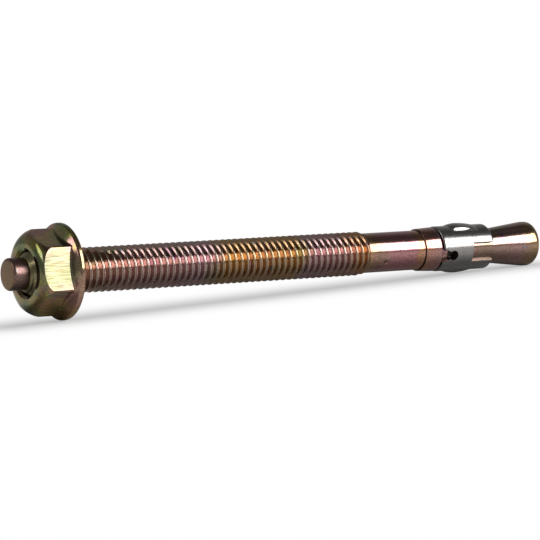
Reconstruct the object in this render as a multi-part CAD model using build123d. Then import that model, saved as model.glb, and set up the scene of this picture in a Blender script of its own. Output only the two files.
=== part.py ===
# Wedge anchor, M8 size: a cold-formed stud, a folded expansion clip and a hexagon flange nut.
# The axis of the stud is X. The cone that spreads the clip is at the +X end.
# The origin is on the axis, in the plane where the nut's flange bears on the fixture.
# A turn angle goes round the axis from the front (-Y), positive downwards.
# All sizes are in millimetres, and all angles in degrees.

from build123d import *
from math import cos, radians, sin, tan
import os

# Running clearance, on the radius, of the pieces that move on the stud
nut_clearance = 0.05
clip_clearance = 0.06

# Stud: dog point that takes the hammer's blow
dog_diameter = 5.6
dog_end_station = -10.75
dog_length = 3.0
dog_edge_radius = 0.5

# Stud: rolled thread, drawn as the cylinder over its crests
thread_crest_diameter = 7.8
thread_length = 66.8
thread_lead_in_length = 0.9
thread_run_out_length = 0.8

# Stud: shank, and the collar that drives the clip into the hole
shank_diameter = 7.1
shank_length = 11.0
collar_start_diameter = 7.6
collar_end_diameter = 7.95
collar_length = 3.5
collar_edge_radius = 0.3

# Stud: neck under the clip, and the cone that spreads it
neck_diameter = 6.08
neck_corner_radius = 0.4
cone_half_angle = 6.7
cone_rim_diameter = 8.04
cone_blend_radius = 8.0
cone_rim_length = 2.1
cone_rim_radius = 1.25

# Expansion clip: one strip of sheet, folded round the neck
sheet_thickness = 0.96
clip_length = 10.85
clip_collar_gap = 0.3
clip_cone_gap = 0.1
clip_edge_radius = 0.3
clip_tip_radius = 0.4
seam_width = 0.8

# Expansion clip: slot between the two leaves, open towards the cone
slot_turn = 8.0
slot_arc = 51.0
slot_length = 4.6

# Expansion clip: keyhole, open towards the collar
keyhole_turn = 14.0
keyhole_diameter = 1.8
keyhole_depth = 2.05
keyhole_throat_width = 1.0
keyhole_mouth_width = 2.6

# Expansion clip: pressed lugs that keep the anchor from turning in its hole
lug_height = 0.42
lug_length = 5.6
lug_peak_length = 2.1
lug_base_arc = 61.0
lug_top_arc = 37.0
lug_edge_distance = 1.9
lug_stagger = 0.9

# Flange nut
nut_height = 7.4
nut_across_flats = 13.0
nut_turn = -10.0
nut_crown_radius = 2.5
nut_corner_radius = 0.3
nut_root_radius = 0.35
countersink_diameter = 8.75
flange_diameter = 16.65
flange_rim_thickness = 1.0
flange_rim_radius = 0.42
flange_angle = 27.0

# Stations along the axis
thread_start = dog_end_station + dog_length + thread_lead_in_length
thread_end = thread_start + thread_length
shank_start = thread_end + thread_run_out_length
collar_start = shank_start + shank_length
collar_end = collar_start + collar_length
clip_start = collar_end + clip_collar_gap
clip_end = clip_start + clip_length
cone_start = clip_end + clip_cone_gap
cone_rise = (cone_rim_diameter - neck_diameter) / 2
cone_rim_start = cone_start + cone_rise / tan(radians(cone_half_angle))
cone_end = cone_rim_start + cone_rim_length

# Radii
dog_radius = dog_diameter / 2
crest_radius = thread_crest_diameter / 2
shank_radius = shank_diameter / 2
neck_radius = neck_diameter / 2
cone_rim_edge = cone_rim_diameter / 2
clip_inner_radius = neck_radius + clip_clearance
clip_outer_radius = clip_inner_radius + sheet_thickness
nut_bore_radius = crest_radius + nut_clearance
nut_corner_circle = nut_across_flats / 2 / cos(radians(30))
flange_edge = flange_diameter / 2

# Length by which a cutting tool runs past the material
overrun = 2.0


def turned(outline, roundings=()):
    """A body turned about the axis from (station, radius) points, with some corners rounded."""
    face = make_face(Polyline(*outline, close=True))
    for corner, radius in roundings:
        nearest = face.vertices().sort_by_distance(Vector(*corner))[0]
        face = fillet(nearest, radius)
    return revolve(Plane.XZ * face, Axis.X)


def sector(start, end, radius, arc, turn):
    """A wedge out from the axis, arc degrees wide, with its middle at the turn angle."""
    face = make_face(Polyline((start, 0), (end, 0), (end, -radius), (start, -radius), close=True))
    return Rot(X=turn - arc / 2) * revolve(face, Axis.X, revolution_arc=arc)


def polar(radius, angle):
    """A point across the axis, the angle counted from the front."""
    return (0, -radius * cos(radians(angle)), -radius * sin(radians(angle)))


def anchor_stud():
    """The stud, one cold-formed piece from the dog point to the cone."""
    dog_root = dog_end_station + dog_length
    rim_corner = (cone_rim_start, cone_rim_edge)
    end_corner = (cone_end, cone_rim_edge)
    outline = [
        (dog_end_station, 0),
        (dog_end_station, dog_radius),
        (dog_root, dog_radius),
        (thread_start, crest_radius),
        (thread_end, crest_radius),
        (shank_start, shank_radius),
        (collar_start, shank_radius),
        (collar_start, collar_start_diameter / 2),
        (collar_end, collar_end_diameter / 2),
        (collar_end, neck_radius),
        (cone_start, neck_radius),
        rim_corner,
        end_corner,
        (cone_end, 0),
    ]
    roundings = [
        (outline[1], dog_edge_radius),
        (outline[7], collar_edge_radius / 2),
        (outline[8], collar_edge_radius),
        (outline[9], neck_corner_radius),
        (outline[10], cone_blend_radius),
        (rim_corner, cone_rim_radius),
        (end_corner, cone_rim_radius),
    ]
    return turned(outline, roundings)


def lug(base_radius, turn, start):
    """The swelling of a pressed lug over a wall of the given radius: an arched ridge with sloping sides."""
    root = base_radius - sheet_thickness / 2
    peak = (start + lug_peak_length, base_radius + lug_height)
    front = (start, base_radius)
    back = (start + lug_length, base_radius)
    rise = TangentArc(peak, front, tangent=(-1, 0))
    fall = TangentArc(peak, back, tangent=(1, 0))
    foot = Polyline(front, (front[0], root), (back[0], root), back)
    arched = revolve(make_face([rise, fall, foot]), Axis.X)

    base_half, top_half = lug_base_arc / 2, lug_top_arc / 2
    crown_radius = base_radius + 2 * lug_height
    crown_half = 2 * top_half - base_half
    section = Polyline(
        polar(root, -base_half),
        polar(base_radius, -base_half),
        polar(crown_radius, -crown_half),
        polar(crown_radius, crown_half),
        polar(base_radius, base_half),
        polar(root, base_half),
        close=True,
    )
    ridge = Pos(X=start) * extrude(make_face(section), amount=lug_length, dir=(1, 0, 0))
    return arched & Rot(X=turn) * ridge


def keyhole():
    """The cutter for the round hole and its mouth that widens to the clip's edge."""
    centre = clip_start + keyhole_depth
    mouth_end = clip_start - overrun
    slope = (keyhole_mouth_width - keyhole_throat_width) / (2 * keyhole_depth)
    throat = keyhole_throat_width / 2
    mouth = throat + slope * (keyhole_depth + overrun)
    depth = clip_outer_radius + overrun
    edge = Polyline(
        (centre, -depth, throat),
        (centre, -depth, -throat),
        (mouth_end, -depth, -mouth),
        (mouth_end, -depth, mouth),
        close=True,
    )
    funnel = extrude(make_face(edge), amount=depth, dir=(0, 1, 0))
    drill = Pos(centre, -depth / 2, 0) * Rot(X=90) * Cylinder(keyhole_diameter / 2, depth)
    return Rot(X=keyhole_turn) * (funnel + drill)


def expansion_clip():
    """The clip, a strip rolled into a sleeve with a seam, a slot, a keyhole and two lugs."""
    outline = [
        (clip_start, clip_inner_radius),
        (clip_end, clip_inner_radius),
        (clip_end, clip_outer_radius),
        (clip_start, clip_outer_radius),
    ]
    clip = turned(outline, [(outline[2], clip_tip_radius), (outline[3], clip_edge_radius)])
    lug_start = clip_start + lug_edge_distance
    for turn, start in ((slot_turn - 90, lug_start + lug_stagger), (slot_turn + 90, lug_start)):
        clip += lug(clip_outer_radius, turn, start)
        clip -= lug(clip_inner_radius, turn, start)
    slot_start = clip_end - slot_length
    clip -= sector(slot_start, clip_end + overrun, clip_outer_radius + overrun, slot_arc, slot_turn)
    clip -= keyhole()
    seam_depth = clip_outer_radius + overrun
    seam = Box(clip_length + 2 * overrun, seam_depth, seam_width)
    seam_middle = Pos(clip_start + clip_length / 2, -seam_depth / 2, 0)
    return clip - Rot(X=slot_turn + 180) * seam_middle * seam


def flange_nut():
    """The nut, one forged piece: a hexagon with a domed top on a sloping flange, with a countersunk bore."""
    hexagon = RegularPolygon(nut_across_flats / 2, 6, major_radius=False, rotation=30)
    hexagon = Plane.YZ * fillet(hexagon.vertices(), nut_corner_radius)
    prism = Rot(X=nut_turn) * Pos(X=-nut_height) * extrude(hexagon, amount=nut_height)
    crown_corner = (-nut_height, nut_corner_circle)
    crown = turned(
        [(-nut_height, 0), crown_corner, (0, nut_corner_circle), (0, 0)],
        [(crown_corner, nut_crown_radius)],
    )
    flange_top = -flange_rim_thickness - flange_edge * tan(radians(flange_angle))
    rim_corners = [(0, flange_edge), (-flange_rim_thickness, flange_edge)]
    flange = turned(
        [(0, 0), *rim_corners, (flange_top, 0)],
        [(corner, flange_rim_radius) for corner in rim_corners],
    )
    nut = (prism & crown) + flange - nut_bore()
    return fillet(nut.edges().filter_by(is_root), nut_root_radius)


def is_root(edge):
    """Whether an edge is where the hexagon meets the flange's slope."""
    curved = edge.geom_type not in (GeomType.LINE, GeomType.CIRCLE)
    return curved and -nut_height / 2 < (edge @ 0.5).X < -flange_rim_thickness


def nut_bore():
    """The cutter for the bore and for the countersinks at its two ends, which slope at 45 degrees."""
    mouth = countersink_diameter / 2 + overrun
    countersink_depth = countersink_diameter / 2 - nut_bore_radius
    return turned([
        (-nut_height - overrun, 0),
        (-nut_height - overrun, mouth),
        (-nut_height + countersink_depth, nut_bore_radius),
        (-countersink_depth, nut_bore_radius),
        (overrun, mouth),
        (overrun, 0),
    ])


os.makedirs("parts", exist_ok=True)
for build in (anchor_stud, expansion_clip, flange_nut):
    export_step(build(), f"parts/{build.__name__}.step")
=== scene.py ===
"""The looks of the wedge anchor: its rolled thread, its rounded edges and its metal finishes."""

import math

import bmesh
import bpy
from mathutils import Matrix, Vector


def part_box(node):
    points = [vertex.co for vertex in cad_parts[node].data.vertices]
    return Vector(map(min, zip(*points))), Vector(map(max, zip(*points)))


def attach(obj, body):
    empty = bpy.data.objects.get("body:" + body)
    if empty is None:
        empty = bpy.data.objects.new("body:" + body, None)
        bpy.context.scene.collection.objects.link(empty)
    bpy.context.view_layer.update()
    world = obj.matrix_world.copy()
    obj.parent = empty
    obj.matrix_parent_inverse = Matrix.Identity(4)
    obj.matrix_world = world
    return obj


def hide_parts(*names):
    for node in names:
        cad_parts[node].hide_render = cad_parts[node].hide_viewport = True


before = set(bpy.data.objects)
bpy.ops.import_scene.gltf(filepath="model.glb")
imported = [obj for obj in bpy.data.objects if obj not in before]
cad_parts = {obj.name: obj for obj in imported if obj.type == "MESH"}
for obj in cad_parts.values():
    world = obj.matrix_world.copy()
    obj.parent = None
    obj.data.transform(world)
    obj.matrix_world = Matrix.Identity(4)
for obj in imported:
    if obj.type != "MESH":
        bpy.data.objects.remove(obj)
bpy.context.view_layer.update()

MM = 0.001
AXIS = Vector((1, 0, 0))
ORIGIN = Vector((0, 0, 0))
FULL_TURN = 2 * math.pi

# Fineness: steps round the axis, segments for each radian of a rounded corner, and the fewest in a corner
STEPS_PER_TURN = 56
TURNED_FINENESS = 8
THREAD_FINENESS = 6
FEWEST_SEGMENTS = 3

# Distances at which points are merged, and the width of the band that joins two surfaces, in millimetres
MERGE_DISTANCE = 1e-4
THREAD_MERGE_DISTANCE = 2e-3
BRIDGE_WIDTH = 0.05

# Edges that turn by more than this are left sharp
SHARP_ANGLE = math.radians(35)


def extent(node):
    """The first and last station of a CAD node along the axis, in millimetres."""
    low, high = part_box(node)
    return low.x / MM, high.x / MM


def reach(node):
    """The largest radius of a turned CAD node, in millimetres."""
    low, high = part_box(node)
    return high.z / MM


# The photograph's camera, fitted to the anchor's outline
IMAGE_WIDTH_PX = 540
SENSOR_WIDTH_MM = 36.0
LENS_PX = 3568.95
VIEW_AZIMUTH = math.radians(-31.53)
VIEW_ELEVATION = math.radians(5.667)
VIEW_DISTANCE = 628.47 * MM
VIEW_TARGET = Vector((43 * MM, 0, 0))
TARGET_RIGHT_PX = 9.196
TARGET_UP_PX = 11.744
NEAREST_SEEN = 10 * MM

# Stud, in millimetres and radians
STUD_START, STUD_END = extent("anchor_stud")
STUD_LENGTH = STUD_END - STUD_START
DOG_RADIUS = 2.8
DOG_LENGTH = 3.0
DOG_EDGE_RADIUS = 0.5
PITCH = 1.25
CREST_RADIUS = 3.9
ROOT_RADIUS = 3.17
CREST_FLAT = 0.16
CREST_EDGE_RADIUS = 0.12
ROOT_EDGE_RADIUS = 0.15
THREAD_ANGLE = math.radians(60)
LEAD_IN_LENGTH = 0.9
THREAD_LENGTH = 66.8
RUN_OUT_LENGTH = 0.8
RUN_OUT_OVERLAP = 0.7
SHANK_RADIUS = 3.55
SHANK_LENGTH = 11.0
COLLAR_START_RADIUS = 3.8
COLLAR_END_RADIUS = 3.975
COLLAR_LENGTH = 3.5
COLLAR_EDGE_RADIUS = 0.3
NECK_RADIUS = 3.04
NECK_CORNER_RADIUS = 0.4
CLIP_START, CLIP_END = extent("expansion_clip")
CLIP_CONE_GAP = 0.1
CONE_HALF_ANGLE = math.radians(6.7)
CONE_RIM_RADIUS = 4.02
CONE_BLEND_RADIUS = 8.0
CONE_EDGE_RADIUS = 1.25

DOG_ROOT = STUD_START + DOG_LENGTH
THREAD_START = DOG_ROOT + LEAD_IN_LENGTH
THREAD_END = THREAD_START + THREAD_LENGTH
RUN_OUT_START = THREAD_END - RUN_OUT_OVERLAP
SHANK_START = THREAD_END + RUN_OUT_LENGTH
COLLAR_START = SHANK_START + SHANK_LENGTH
COLLAR_END = COLLAR_START + COLLAR_LENGTH
CONE_START = CLIP_END + CLIP_CONE_GAP
CONE_RIM_START = CONE_START + (CONE_RIM_RADIUS - NECK_RADIUS) / math.tan(CONE_HALF_ANGLE)

# The thread is wound with turns to spare at both ends, which are then cut off. The shift puts its crests
# where the photograph has them.
TURNS_BEFORE = 1.5
SPARE_TURNS = 3
CREST_SHIFT = 0.303

# Nut, in millimetres
FLANGE_RADIUS = reach("flange_nut")

# Studio, in metres and radians. A lamp has its azimuth from the front, its elevation, its size and its
# radiance.
LAMP_DISTANCE = 3.0
LAMPS = {
    "softbox": (math.radians(33), math.radians(28), (2.0, 1.93), 8.5),
    "side_panel": (math.radians(-106), math.radians(25), (1.5, 0.9), 4.5),
}

# Grey of the room by the height of the line of sight, from the horizon (0) to straight overhead (1)
ROOM_GREYS = [
    (0.0, 0.45), (0.25, 0.40), (0.50, 0.33), (0.68, 0.27),
    (0.80, 0.12), (0.87, 0.08), (0.94, 0.22), (1.0, 0.26),
]

# Floor, in metres. A fade gives two distances from the stud's axis, seen from above. Over the first the
# paint goes from its dark grey, a painted shadow close under the stud, to its pale one. Over the others it
# gives way to plain white, in a mirror image on the metal and in the camera's own view.
FLOOR_HALF_SIZE = 6.0
FLOOR_GAP = 0.05 * MM
FLOOR_SHADOW_AND_PAINT_GREYS = (0.36, 0.84)
PAINTED_SHADOW_FADE = (0.002, 0.012)
MIRRORED_WHITE_FADE = (0.003, 0.022)
SEEN_WHITE_FADE = (-0.012, 0.015)

# Colour of the stud's film by station, in millimetres, and how far its colours wander along the stud
STUD_FILM = [
    (-10.5, (0.16, 0.10, 0.085)), (-8.0, (0.18, 0.11, 0.095)), (-6.5, (0.30, 0.20, 0.16)),
    (0.0, (0.42, 0.28, 0.21)), (4.0, (0.41, 0.27, 0.22)), (10.0, (0.38, 0.245, 0.22)),
    (20.0, (0.375, 0.245, 0.235)), (26.0, (0.37, 0.245, 0.265)), (29.0, (0.375, 0.24, 0.21)),
    (31.5, (0.385, 0.24, 0.11)), (38.0, (0.38, 0.235, 0.14)), (44.5, (0.38, 0.24, 0.115)),
    (47.5, (0.37, 0.24, 0.26)), (54.0, (0.375, 0.24, 0.225)), (58.0, (0.42, 0.23, 0.11)),
    (61.0, (0.33, 0.20, 0.13)), (63.0, (0.35, 0.19, 0.17)), (66.0, (0.38, 0.185, 0.20)),
    (69.5, (0.38, 0.185, 0.19)), (71.0, (0.42, 0.22, 0.12)), (74.0, (0.36, 0.19, 0.18)),
    (87.0, (0.27, 0.19, 0.14)), (91.0, (0.33, 0.20, 0.19)), (95.5, (0.32, 0.21, 0.13)),
    (96.9, (0.27, 0.18, 0.10)),
]
FILM_WANDER = 9.0

# Noise of the two films, of their patches and of the grain
STUD_FILM_SCALE = 210.0
NUT_FILM_SCALE = 170.0
NUT_FILM_DISTORTION = 0.5
FILM_DETAIL = 3.0
FILM_ROUGHNESS = 0.55
PATCH_DISTORTION = 0.4
FINE_DETAIL = 3.0
FINE_ROUGHNESS = 0.6
BROAD_SCALE = 0.23
BROAD_DETAIL = 2.0
BROAD_SHARE = 2.2
SPECKLE_RANGE = (0.36, 0.62)

# Colour of the nut's film by the value of a soft noise
NUT_FILM = [
    (0.36, (0.18, 0.20, 0.075)), (0.45, (0.33, 0.24, 0.08)), (0.52, (0.44, 0.26, 0.11)),
    (0.58, (0.36, 0.18, 0.14)), (0.66, (0.26, 0.22, 0.075)),
]

# Patches in a film: scale and shift of a noise, its values where a patch starts and is full, strength,
# colour
STUD_PATCHES = {
    "olive": (150.0, 0.4, 0.56, 0.68, 0.55, (0.20, 0.21, 0.11, 1)),
    "teal": (420.0, 1.3, 0.62, 0.72, 0.6, (0.08, 0.20, 0.24, 1)),
    "purple": (300.0, 2.2, 0.60, 0.72, 0.5, (0.20, 0.08, 0.17, 1)),
}
NUT_PATCHES = {
    "blue": (230.0, 0.9, 0.54, 0.64, 0.45, (0.10, 0.14, 0.17, 1)),
    "purple": (260.0, 3.1, 0.53, 0.64, 0.8, (0.31, 0.15, 0.17, 1)),
    "gold": (200.0, 5.3, 0.52, 0.64, 0.7, (0.36, 0.25, 0.085, 1)),
}

# Bands round the stud: middle, half widths at which they start to fade and are gone, strength, colour
STUD_BANDS = {
    # The collar step's dark band is painted shade in the corner of the step.
    "collar_step_painted_shade": (COLLAR_START + 0.02, 0.05, 0.13, 0.8, (0.05, 0.033, 0.028, 1)),
    "lead_in": (DOG_ROOT + 0.8, 0.8, 1.2, 0.75, (0.15, 0.145, 0.065, 1)),
}

# Rubbed crests: depths under the crest at which the rub starts and is full, strength, colour
RUB_START = 0.09
RUB_FULL = 0.02
RUB_STRENGTH = 0.7
RUBBED_COLOUR = (0.31, 0.255, 0.20, 1)

# The neck under the clip, painted dark as shade in the gap, as stations, and the dog point's end face
NECK_PAINTED_SHADE_START = COLLAR_END + 1.5
NECK_PAINTED_SHADE_END = CLIP_START + 4.6
NECK_PAINTED_SHADE_COLOUR = (0.03, 0.022, 0.018, 1)
END_FACE_DEPTH = 0.06
END_FACE_STRENGTH = 0.85
END_FACE_COLOUR = (0.14, 0.08, 0.025, 1)

# Spots on a turned surface: station, turn from the front in degrees, radius, half length and half width
DENT = (63.4, 26.0, SHANK_RADIUS, 0.5, 0.5)
LUG_HOLLOW = (80.1, -57.5, 4.3, 2.4, 0.58)
FLANGE_FRONT = (-1.5, 15.0, 7.5, 3.0, 6.5)
FRONT_FLAT = (-4.3, -12.0, 6.6, 3.6, 4.4)

# Share of a spot's half size at which its edge starts to fade and is gone
DENT_COLOUR_FADE = (0.9, 1.5)
DENT_FADE = (0.2, 1.0)
LUG_HOLLOW_FADE = (0.7, 1.0)
NUT_SPOT_FADE = (0.6, 1.3)

# The dent's depth in millimetres, its mark's strength and colour, and the slope in the lug's hollow
DENT_DEPTH = 0.2
DENT_STRENGTH = 0.3
DENT_COLOUR = (0.09, 0.07, 0.05, 1)
LUG_HOLLOW_SLOPE = 0.2

# Other colours on the nut: its flange's front by radius, its crown by station, darkened as painted shade,
# and its front flat
FLANGE_FADE = (6.6, 7.4)
FLANGE_STRENGTH = 0.6
FLANGE_COLOUR = (0.35, 0.20, 0.145, 1)
CROWN_FADE = (-6.9, -6.0)
CROWN_PAINTED_SHADE = (0.47, 0.58, 0.50, 1)
FLAT_STRENGTH = 0.85
FLAT_COLOUR = (0.14, 0.145, 0.085, 1)

# Grain: scale, stretch along the axis, relief in millimetres, dark and light colour, and the roughness
# in the dark and in the light
STUD_GRAIN = (3600.0, 0.8, 0.007, (0.70, 0.68, 0.64), (1, 1, 1), 0.16, 0.11)
NUT_GRAIN = (4200.0, 0.08, 0.004, (0.66, 0.66, 0.64), (1, 1, 1), 0.17, 0.11)
CLIP_GRAIN = (2600.0, 0.6, 0.002, (0.20, 0.19, 0.18), (0.25, 0.24, 0.23), 0.27, 0.20)

# What the thread, its rubbed crests and the dog point add to the stud's roughness
THREAD_ROUGHNESS = 0.04
CREST_ROUGHNESS = 0.10
DOG_ROUGHNESS = 0.19
DOG_ROUGHNESS_FADE = (DOG_ROOT - 0.2, DOG_ROOT + 0.4)


# Camera, light and floor


def direction(azimuth, elevation):
    """The way out from the anchor at an azimuth from the front and an elevation."""
    level = math.cos(elevation)
    return Vector((math.sin(azimuth) * level, -math.cos(azimuth) * level, math.sin(elevation)))


def aim(item, outwards):
    """Turns a camera or lamp so that its back points outwards."""
    item.rotation_euler = outwards.to_track_quat("Z", "Y").to_euler()


def add_camera():
    """The photograph's camera, with the shift that puts its target where the photograph has it."""
    data = bpy.data.cameras.new("camera")
    data.sensor_width = SENSOR_WIDTH_MM
    data.lens = LENS_PX / IMAGE_WIDTH_PX * SENSOR_WIDTH_MM
    data.shift_x = -TARGET_RIGHT_PX / IMAGE_WIDTH_PX
    data.shift_y = -TARGET_UP_PX / IMAGE_WIDTH_PX
    data.clip_start = NEAREST_SEEN
    outwards = direction(VIEW_AZIMUTH, VIEW_ELEVATION)
    camera = bpy.data.objects.new("camera", data)
    camera.location = VIEW_TARGET + outwards * VIEW_DISTANCE
    aim(camera, outwards)
    bpy.context.scene.collection.objects.link(camera)
    bpy.context.scene.camera = camera


def add_lamp(name, azimuth, elevation, size, radiance):
    """A soft lamp that faces the anchor. Its power comes from its radiance and its area."""
    data = bpy.data.lights.new(name, "AREA")
    data.shape = "RECTANGLE"
    data.size, data.size_y = size
    data.energy = radiance * math.pi * size[0] * size[1]
    outwards = direction(azimuth, elevation)
    lamp = bpy.data.objects.new(name, data)
    lamp.location = VIEW_TARGET + outwards * LAMP_DISTANCE
    aim(lamp, outwards)
    lamp.visible_camera = False
    bpy.context.scene.collection.objects.link(lamp)


def add_world():
    """Soft light from all round, brightest at the horizon and darkest high up."""
    world = bpy.data.worlds.new("studio")
    world.use_nodes = True
    tree = world.node_tree
    tree.nodes.clear()
    sight = put(tree, "ShaderNodeTexCoord").outputs["Generated"]
    height = put(tree, "ShaderNodeSeparateXYZ", None, Vector=sight).outputs["Z"]
    grey = ramp(tree, height, [(at, (level, level, level)) for at, level in ROOM_GREYS])
    light = put(tree, "ShaderNodeBackground", None, Color=grey)
    put(tree, "ShaderNodeOutputWorld", None, Surface=light.outputs[0])
    bpy.context.scene.world = world


def floor_material():
    """A pale paint with a painted shadow that makes it darker close under the stud, and plain white away
    from it.
    """
    material, tree = new_material("floor")
    place = put(tree, "ShaderNodeTexCoord").outputs["Object"]
    beside = vector_of(tree, "MINIMUM", place, (STUD_END * MM, 0, 0))
    beside = vector_of(tree, "MAXIMUM", beside, (STUD_START * MM, 0, 0))
    beside = vector_of(tree, "MULTIPLY", beside, AXIS)
    offset = vector_of(tree, "SUBTRACT", place, beside)
    away = length_of(tree, vector_of(tree, "MULTIPLY", offset, (1, 1, 0)))
    # Painted shadow: the paint turns dark grey close to the stud's axis.
    grey = ramp(tree, smooth_range(tree, away, *PAINTED_SHADOW_FADE), [
        (at, (level, level, level)) for at, level in enumerate(FLOOR_SHADOW_AND_PAINT_GREYS)
    ])
    paint = put(tree, "ShaderNodeBsdfDiffuse", None, Color=grey)
    white = put(tree, "ShaderNodeEmission", None, Color=(1, 1, 1, 1), Strength=1.0)

    rays = put(tree, "ShaderNodeLightPath").outputs
    far = put(
        tree, "ShaderNodeMix", {"data_type": "FLOAT"}, _0=rays["Is Camera Ray"],
        _2=smooth_range(tree, away, *MIRRORED_WHITE_FADE), _3=smooth_range(tree, away, *SEEN_WHITE_FADE),
    ).outputs[0]
    seen = math_of(tree, "MAXIMUM", rays["Is Camera Ray"], rays["Is Glossy Ray"])
    seen = math_of(tree, "MAXIMUM", seen, rays["Is Transmission Ray"])
    share = math_of(tree, "MULTIPLY", far, seen)
    mixed = put(tree, "ShaderNodeMixShader", None, _0=share, _1=paint.outputs[0], _2=white.outputs[0])
    put(tree, "ShaderNodeOutputMaterial", None, Surface=mixed.outputs[0])
    return material


def add_floor():
    """The floor on which the nut's flange and the cone's rim rest."""
    bm = bmesh.new()
    bmesh.ops.create_grid(bm, x_segments=1, y_segments=1, size=FLOOR_HALF_SIZE)
    slope = math.atan2(FLANGE_RADIUS - CONE_RIM_RADIUS, CONE_RIM_START)
    bmesh.ops.rotate(bm, cent=ORIGIN, matrix=Matrix.Rotation(-slope, 3, "Y"), verts=bm.verts)
    bmesh.ops.translate(bm, vec=(0, 0, -FLANGE_RADIUS * MM - FLOOR_GAP), verts=bm.verts)
    mesh = bpy.data.meshes.new("floor")
    bm.to_mesh(mesh)
    bm.free()
    mesh.materials.append(floor_material())
    floor = bpy.data.objects.new("floor", mesh)
    bpy.context.scene.collection.objects.link(floor)


# Shader nodes


def put(tree, kind, settings=None, **inputs):
    """Adds a node. An input is named by its socket, or by its place after an underscore."""
    node = tree.nodes.new(kind)
    for key, value in (settings or {}).items():
        setattr(node, key, value)
    for key, value in inputs.items():
        socket = node.inputs[int(key[1:])] if key[0] == "_" else node.inputs[key.replace("_", " ")]
        if isinstance(value, bpy.types.NodeSocket):
            tree.links.new(value, socket)
        else:
            socket.default_value = value
    return node


def ramp(tree, factor, stops):
    """A colour that runs through (place, colour) stops."""
    node = put(tree, "ShaderNodeValToRGB", None, Fac=factor)
    elements = node.color_ramp.elements
    elements[0].position, elements[0].color = stops[0][0], (*stops[0][1], 1)
    elements[1].position, elements[1].color = stops[-1][0], (*stops[-1][1], 1)
    for place, colour in stops[1:-1]:
        elements.new(place).color = (*colour, 1)
    return node.outputs["Color"]


def smooth_range(tree, value, start, end, low=0.0, high=1.0):
    """A number that eases from low to high as the value goes from start to end."""
    return put(
        tree, "ShaderNodeMapRange", {"interpolation_type": "SMOOTHSTEP"},
        _0=value, _1=start, _2=end, _3=low, _4=high,
    ).outputs[0]


def mixed_colour(tree, factor, first, second, blend="MIX"):
    """Two colours mixed by a factor."""
    return put(
        tree, "ShaderNodeMix", {"data_type": "RGBA", "blend_type": blend},
        _0=factor, _6=first, _7=second,
    ).outputs[2]


def new_material(name):
    """An empty material and its node tree."""
    material = bpy.data.materials.new(name)
    material.use_nodes = True
    tree = material.node_tree
    tree.nodes.clear()
    return material, tree


def new_group(name, inputs, outputs):
    """An empty node group whose inputs and outputs are numbers, and their sockets inside it."""
    group = bpy.data.node_groups.new(name, "ShaderNodeTree")
    for label in inputs:
        group.interface.new_socket(label, in_out="INPUT", socket_type="NodeSocketFloat")
    for label in outputs:
        group.interface.new_socket(label, in_out="OUTPUT", socket_type="NodeSocketFloat")
    given = group.nodes.new("NodeGroupInput").outputs
    return group, given, group.nodes.new("NodeGroupOutput").inputs


def noise(tree, vector, scale, detail, roughness=0.5, distortion=0.0):
    """A soft random value between 0 and 1."""
    return put(
        tree, "ShaderNodeTexNoise", None,
        Vector=vector, Scale=scale, Detail=detail, Roughness=roughness, Distortion=distortion,
    ).outputs[0]


def math_of(tree, operation, first, second=0.0, third=0.0):
    """One arithmetic step."""
    return put(tree, "ShaderNodeMath", {"operation": operation}, _0=first, _1=second, _2=third).outputs[0]


def vector_of(tree, operation, first, second):
    """One arithmetic step on vectors."""
    return put(tree, "ShaderNodeVectorMath", {"operation": operation}, _0=first, _1=second).outputs[0]


def length_of(tree, vector):
    """The length of a vector."""
    return put(tree, "ShaderNodeVectorMath", {"operation": "LENGTH"}, _0=vector).outputs["Value"]


def between(tree, value, low, high):
    """A mask that is 1 where a value lies between two others, and 0 elsewhere."""
    above = math_of(tree, "GREATER_THAN", value, low)
    return math_of(tree, "MULTIPLY", above, math_of(tree, "LESS_THAN", value, high))


def add_station_group():
    """A group for the station along the axis, the radius from it and the way round it, in millimetres."""
    group, _, out = new_group("station", (), ("Station", "Radius", "Round"))
    place = put(group, "ShaderNodeTexCoord").outputs["Object"]
    in_mm = put(group, "ShaderNodeVectorMath", {"operation": "SCALE"}, _0=place, Scale=1 / MM).outputs[0]
    split = put(group, "ShaderNodeSeparateXYZ", None, Vector=in_mm).outputs
    radius = length_of(group, vector_of(group, "MULTIPLY", in_mm, (0, 1, 1)))
    downwards = math_of(group, "MULTIPLY", split["Z"], -1.0)
    forwards = math_of(group, "MULTIPLY", split["Y"], -1.0)
    turn = math_of(group, "ARCTAN2", downwards, forwards)
    group.links.new(split["X"], out["Station"])
    group.links.new(radius, out["Radius"])
    group.links.new(math_of(group, "MULTIPLY", turn, radius), out["Round"])


def add_grain_group():
    """A group for the fine unevenness of a metal surface: a height, and a speckle mask."""
    group, given, out = new_group("metal_grain", ("Scale", "Stretch"), ("Height", "Speckle"))
    place = put(group, "ShaderNodeTexCoord").outputs["Object"]
    stretch = put(group, "ShaderNodeCombineXYZ", None, X=given["Stretch"], Y=1.0, Z=1.0).outputs[0]
    stretched = vector_of(group, "MULTIPLY", place, stretch)
    fine = noise(group, stretched, given["Scale"], FINE_DETAIL, FINE_ROUGHNESS)
    broad = noise(group, stretched, math_of(group, "MULTIPLY", given["Scale"], BROAD_SCALE), BROAD_DETAIL)
    group.links.new(math_of(group, "MULTIPLY_ADD", broad, BROAD_SHARE, fine), out["Height"])
    group.links.new(smooth_range(group, fine, *SPECKLE_RANGE), out["Speckle"])


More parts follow.
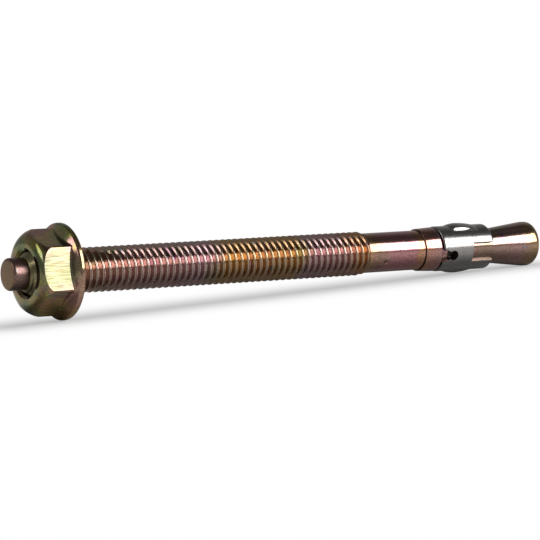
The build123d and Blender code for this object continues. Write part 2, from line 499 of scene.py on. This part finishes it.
def add_patch_group():
    """A group for soft-edged patches a few millimetres across, as a mask that is mostly bare."""
    group, given, out = new_group("film_patches", ("Scale", "Shift", "Start", "Full"), ("Mask",))
    place = put(group, "ShaderNodeTexCoord").outputs["Object"]
    shift = put(group, "ShaderNodeCombineXYZ", None, X=given["Shift"]).outputs[0]
    moved = vector_of(group, "ADD", place, shift)
    value = noise(group, moved, given["Scale"], FILM_DETAIL, FILM_ROUGHNESS, PATCH_DISTORTION)
    group.links.new(smooth_range(group, value, given["Start"], given["Full"]), out["Mask"])


def use_group(tree, name, **inputs):
    """Places a shared node group and gives it its values."""
    return put(tree, "ShaderNodeGroup", {"node_tree": bpy.data.node_groups[name]}, **inputs).outputs


def from_spot(tree, located, spot):
    """The distance from a spot, which is 1 on the spot's edge, and the way across it in millimetres."""
    station, turn_degrees, radius, half_length, half_width = spot
    along = math_of(tree, "SUBTRACT", located["Station"], station)
    across = math_of(tree, "SUBTRACT", located["Round"], math.radians(turn_degrees) * radius)
    offset = put(
        tree, "ShaderNodeCombineXYZ", None,
        X=math_of(tree, "DIVIDE", along, half_length), Y=math_of(tree, "DIVIDE", across, half_width),
    ).outputs[0]
    return length_of(tree, offset), across


def patched(tree, film, spots):
    """A film with patches of other colours laid over it."""
    for scale, shift, start, full, strength, colour in spots.values():
        mask = use_group(tree, "film_patches", Scale=scale, Shift=shift, Start=start, Full=full)["Mask"]
        film = mixed_colour(tree, math_of(tree, "MULTIPLY", mask, strength), film, colour)
    return film


def banded(tree, film, station, bands):
    """A film with bands of other colours laid round it."""
    for middle, fading, gone, strength, colour in bands.values():
        distance = math_of(tree, "ABSOLUTE", math_of(tree, "SUBTRACT", station, middle))
        film = mixed_colour(tree, smooth_range(tree, distance, fading, gone, strength, 0.0), film, colour)
    return film


def grained(tree, grain):
    """The height of a surface's grain in millimetres, and its colour and roughness."""
    scale, stretch, relief, dark, light, rough, smooth = grain
    outputs = use_group(tree, "metal_grain", Scale=scale, Stretch=stretch)
    height = math_of(tree, "MULTIPLY", outputs["Height"], relief)
    colour = ramp(tree, outputs["Speckle"], [(0, dark), (1, light)])
    return height, colour, smooth_range(tree, outputs["Speckle"], 0.0, 1.0, rough, smooth)


def metal_surface(tree, colour, roughness, height):
    """Ends a material as metal whose height is given in millimetres."""
    bump = put(tree, "ShaderNodeBump", None, Strength=1.0, Distance=MM, Height=height)
    shader = put(
        tree, "ShaderNodeBsdfPrincipled", None,
        Base_Color=colour, Metallic=1.0, Roughness=roughness, Normal=bump.outputs[0],
    )
    put(tree, "ShaderNodeOutputMaterial", None, Surface=shader.outputs[0])


# Finishes


def drifting_film(tree, station):
    """The stud's chromate film, whose colour drifts along the stud, with its patches."""
    place = put(tree, "ShaderNodeTexCoord").outputs["Object"]
    wander = noise(tree, place, STUD_FILM_SCALE, FILM_DETAIL, FILM_ROUGHNESS)
    wander = math_of(tree, "MULTIPLY_ADD", wander, FILM_WANDER, -FILM_WANDER / 2)
    along = math_of(tree, "SUBTRACT", math_of(tree, "ADD", station, wander), STUD_START)
    along = math_of(tree, "DIVIDE", along, STUD_LENGTH)
    film = ramp(tree, along, [((at - STUD_START) / STUD_LENGTH, colour) for at, colour in STUD_FILM])
    return patched(tree, film, STUD_PATCHES)


def marked_film(tree, film, station, crest, from_dent):
    """The stud's film with rubbed crests, the bands, among them the painted shade at the collar's step,
    painted shade on the neck under the clip, the end face and the dent.
    """
    film = mixed_colour(tree, math_of(tree, "MULTIPLY", crest, RUB_STRENGTH), film, RUBBED_COLOUR)
    film = banded(tree, film, station, STUD_BANDS)
    # Painted shade on the neck in the gap under the clip.
    film = mixed_colour(tree, between(tree, station, NECK_PAINTED_SHADE_START, NECK_PAINTED_SHADE_END), film, NECK_PAINTED_SHADE_COLOUR)
    end_face = math_of(tree, "LESS_THAN", station, STUD_START + END_FACE_DEPTH)
    end_face = math_of(tree, "MULTIPLY", end_face, END_FACE_STRENGTH)
    film = mixed_colour(tree, end_face, film, END_FACE_COLOUR)
    dent = smooth_range(tree, from_dent, *DENT_COLOUR_FADE, DENT_STRENGTH, 0.0)
    return mixed_colour(tree, dent, film, DENT_COLOUR)


def stud_zinc_material():
    """Zinc under a yellow chromate film, rougher on the thread, its crests and the dog point."""
    material, tree = new_material("stud_zinc")
    located = use_group(tree, "station")
    station = located["Station"]
    threaded = between(tree, station, DOG_ROOT, SHANK_START)
    crest = smooth_range(tree, located["Radius"], CREST_RADIUS - RUB_START, CREST_RADIUS - RUB_FULL)
    crest = math_of(tree, "MULTIPLY", crest, threaded)
    from_dent, _ = from_spot(tree, located, DENT)
    film = marked_film(tree, drifting_film(tree, station), station, crest, from_dent)

    grain_height, shade, roughness = grained(tree, STUD_GRAIN)
    film = mixed_colour(tree, 1.0, film, shade, "MULTIPLY")
    roughness = math_of(tree, "MULTIPLY_ADD", threaded, THREAD_ROUGHNESS, roughness)
    roughness = math_of(tree, "MULTIPLY_ADD", crest, CREST_ROUGHNESS, roughness)
    dog = smooth_range(tree, station, *DOG_ROUGHNESS_FADE, DOG_ROUGHNESS, 0.0)
    roughness = math_of(tree, "ADD", roughness, dog)
    dent = smooth_range(tree, from_dent, *DENT_FADE, -DENT_DEPTH, 0.0)
    metal_surface(tree, film, roughness, math_of(tree, "ADD", grain_height, dent))
    return material


def nut_zinc_material():
    """The nut's film, which is olive and brown with blue, purple and gold patches, and painted shade on its
    crown.
    """
    material, tree = new_material("nut_zinc")
    located = use_group(tree, "station")
    place = put(tree, "ShaderNodeTexCoord").outputs["Object"]
    drift = noise(tree, place, NUT_FILM_SCALE, FILM_DETAIL, FILM_ROUGHNESS, NUT_FILM_DISTORTION)
    film = patched(tree, ramp(tree, drift, NUT_FILM), NUT_PATCHES)

    from_front, _ = from_spot(tree, located, FLANGE_FRONT)
    front = smooth_range(tree, from_front, *NUT_SPOT_FADE, 1.0, 0.0)
    flange = smooth_range(tree, located["Radius"], *FLANGE_FADE, 0.0, FLANGE_STRENGTH)
    film = mixed_colour(tree, math_of(tree, "MULTIPLY", flange, front), film, FLANGE_COLOUR)
    # Painted shade: the nut's crown is darkened.
    crown = smooth_range(tree, located["Station"], *CROWN_FADE, 1.0, 0.0)
    film = mixed_colour(tree, crown, film, CROWN_PAINTED_SHADE, "MULTIPLY")
    from_flat, _ = from_spot(tree, located, FRONT_FLAT)
    flat = smooth_range(tree, from_flat, *NUT_SPOT_FADE, FLAT_STRENGTH, 0.0)
    film = mixed_colour(tree, flat, film, FLAT_COLOUR)

    grain_height, shade, roughness = grained(tree, NUT_GRAIN)
    film = mixed_colour(tree, 1.0, film, shade, "MULTIPLY")
    metal_surface(tree, film, roughness, grain_height)
    return material


def clip_steel_material():
    """Plain rolled steel sheet, satin and grey, with the hollow pressed along the front of the upper lug."""
    material, tree = new_material("clip_steel")
    grain_height, colour, roughness = grained(tree, CLIP_GRAIN)
    from_lug, across = from_spot(tree, use_group(tree, "station"), LUG_HOLLOW)
    hollow = math_of(tree, "MULTIPLY", smooth_range(tree, from_lug, *LUG_HOLLOW_FADE, 1.0, 0.0), across)
    hollow = math_of(tree, "MULTIPLY", hollow, -LUG_HOLLOW_SLOPE)
    metal_surface(tree, colour, roughness, math_of(tree, "ADD", grain_height, hollow))
    return material


# Turned and wound pieces


def drawn_line(bm, outline, roundings, fineness):
    """Draws an open line through (station, radius) points, and rounds corners given as (number, radius)."""
    corners = [bm.verts.new((station, radius, 0)) for station, radius in outline]
    for pair in zip(corners, corners[1:]):
        bm.edges.new(pair)
    bends = []
    for index, radius in roundings:
        corner = corners[index].co
        turn = (corner - corners[index - 1].co).angle(corners[index + 1].co - corner)
        segments = max(FEWEST_SEGMENTS, round(turn * fineness))
        bends.append((corners[index], radius * math.tan(turn / 2), segments))
    for corner, offset, segments in bends:
        bmesh.ops.bevel(
            bm, geom=[corner], affect="VERTICES", offset=offset,
            offset_type="OFFSET", segments=segments, profile=0.5, material=-1,
        )
    return bm.verts[:] + bm.edges[:]


def turned(outline, roundings):
    """A surface turned about the axis from (station, radius) points."""
    bm = bmesh.new()
    line = drawn_line(bm, outline, roundings, TURNED_FINENESS)
    bmesh.ops.spin(
        bm, geom=line, cent=ORIGIN, axis=AXIS, angle=FULL_TURN, steps=STEPS_PER_TURN, use_merge=True,
    )
    bmesh.ops.remove_doubles(bm, verts=bm.verts, dist=MERGE_DISTANCE)
    return bm


def cut(bm, station, keep_above):
    """Cuts a bmesh across the axis and keeps one side."""
    bmesh.ops.bisect_plane(
        bm, geom=bm.verts[:] + bm.edges[:] + bm.faces[:], plane_co=(station, 0, 0), plane_no=AXIS,
        clear_inner=keep_above, clear_outer=not keep_above,
    )


def wound(start, end, outline, roundings):
    """A right-hand thread from start to end. One turn is wound, then doubled until it is long enough."""
    bm = bmesh.new()
    line = drawn_line(bm, outline, roundings, THREAD_FINENESS)
    bmesh.ops.spin(
        bm, geom=line, cent=ORIGIN, axis=AXIS, dvec=(PITCH / STEPS_PER_TURN, 0, 0),
        angle=FULL_TURN, steps=STEPS_PER_TURN,
    )
    turns = 1
    while turns * PITCH < end - start + SPARE_TURNS * PITCH:
        copy = bmesh.ops.duplicate(bm, geom=bm.verts[:] + bm.edges[:] + bm.faces[:])["geom"]
        verts = [item for item in copy if isinstance(item, bmesh.types.BMVert)]
        bmesh.ops.translate(bm, vec=(turns * PITCH, 0, 0), verts=verts)
        turns *= 2
    cut(bm, start, True)
    cut(bm, end, False)
    bmesh.ops.remove_doubles(bm, verts=bm.verts, dist=THREAD_MERGE_DISTANCE)
    return bm


def add_to(bm, other):
    """Moves another bmesh's surface into this one."""
    mesh = bpy.data.meshes.new("part")
    other.to_mesh(mesh)
    other.free()
    bm.from_mesh(mesh)
    bpy.data.meshes.remove(mesh)


def join_rims(bm, station):
    """Closes the narrow band between two rims that both lie near a station."""
    rims = [
        edge for edge in bm.edges
        if edge.is_boundary and all(abs(vert.co.x - station) < 2 * BRIDGE_WIDTH for vert in edge.verts)
    ]
    bmesh.ops.bridge_loops(bm, edges=rims)


def finished(bm, name, material):
    """An object from a bmesh in millimetres, smooth but for its sharp edges."""
    bmesh.ops.recalc_face_normals(bm, faces=bm.faces)
    bmesh.ops.scale(bm, vec=(MM, MM, MM), verts=bm.verts)
    for face in bm.faces:
        face.smooth = True
    mesh = bpy.data.meshes.new(name)
    bm.to_mesh(mesh)
    bm.free()
    mesh.set_sharp_from_angle(angle=SHARP_ANGLE)
    mesh.materials.append(material)
    piece = bpy.data.objects.new(name, mesh)
    bpy.context.scene.collection.objects.link(piece)
    return piece


def eased(value):
    """A smooth step from 0 to 1."""
    value = min(max(value, 0.0), 1.0)
    return value * value * (3 - 2 * value)


def thread_section(start):
    """One pitch of the stud's thread, from root to root."""
    flank = (CREST_RADIUS - ROOT_RADIUS) * math.tan(THREAD_ANGLE / 2)
    root = PITCH / 2 - CREST_FLAT / 2 - flank
    outline = [
        (start, ROOT_RADIUS), (start + root, ROOT_RADIUS), (start + root + flank, CREST_RADIUS),
        (start + PITCH - root - flank, CREST_RADIUS), (start + PITCH - root, ROOT_RADIUS),
        (start + PITCH, ROOT_RADIUS),
    ]
    roundings = [
        (1, ROOT_EDGE_RADIUS), (2, CREST_EDGE_RADIUS), (3, CREST_EDGE_RADIUS), (4, ROOT_EDGE_RADIUS),
    ]
    return outline, roundings


def rolled_thread():
    """The thread's surface from the dog point to the shank, with its lead-in and its run-out."""
    section = thread_section(DOG_ROOT - TURNS_BEFORE * PITCH + CREST_SHIFT)
    thread = wound(DOG_ROOT, SHANK_START, *section)
    lead_in_slope = (CREST_RADIUS - DOG_RADIUS) / LEAD_IN_LENGTH
    for vert in thread.verts:
        station, radius = vert.co.x, math.hypot(vert.co.y, vert.co.z)
        lead_in = DOG_RADIUS + (station - DOG_ROOT) * lead_in_slope
        fade = eased((station - RUN_OUT_START) / RUN_OUT_LENGTH)
        new_radius = min(radius, lead_in)
        new_radius += (SHANK_RADIUS - new_radius) * fade
        vert.co.yz = vert.co.yz * (new_radius / radius)
    return thread


def threaded_stud(material):
    """The stud, from the dog point through the rolled thread, shank, collar and neck to the cone."""
    bm = turned(
        [(STUD_START, 0), (STUD_START, DOG_RADIUS), (DOG_ROOT - BRIDGE_WIDTH, DOG_RADIUS)],
        [(1, DOG_EDGE_RADIUS)],
    )
    shank_outline = [
        (SHANK_START + BRIDGE_WIDTH, SHANK_RADIUS), (COLLAR_START, SHANK_RADIUS),
        (COLLAR_START, COLLAR_START_RADIUS), (COLLAR_END, COLLAR_END_RADIUS), (COLLAR_END, NECK_RADIUS),
        (CONE_START, NECK_RADIUS), (CONE_RIM_START, CONE_RIM_RADIUS),
        (STUD_END, CONE_RIM_RADIUS), (STUD_END, 0),
    ]
    shank_roundings = [
        (2, COLLAR_EDGE_RADIUS / 2), (3, COLLAR_EDGE_RADIUS), (4, NECK_CORNER_RADIUS),
        (5, CONE_BLEND_RADIUS), (6, CONE_EDGE_RADIUS), (7, CONE_EDGE_RADIUS),
    ]
    add_to(bm, turned(shank_outline, shank_roundings))
    add_to(bm, rolled_thread())
    join_rims(bm, DOG_ROOT)
    join_rims(bm, SHANK_START)
    piece = finished(bm, "threaded_stud", material)
    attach(piece, "stud")
    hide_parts("anchor_stud")


def dress(node, material):
    """Gives a CAD node its finish."""
    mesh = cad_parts[node].data
    mesh.materials.clear()
    mesh.materials.append(material)


add_station_group()
add_grain_group()
add_patch_group()
threaded_stud(stud_zinc_material())
dress("flange_nut", nut_zinc_material())
dress("expansion_clip", clip_steel_material())
add_floor()
add_world()
for lamp_name, lamp_values in LAMPS.items():
    add_lamp(lamp_name, *lamp_values)
add_camera()
bpy.context.scene.view_settings.view_transform = "Standard"
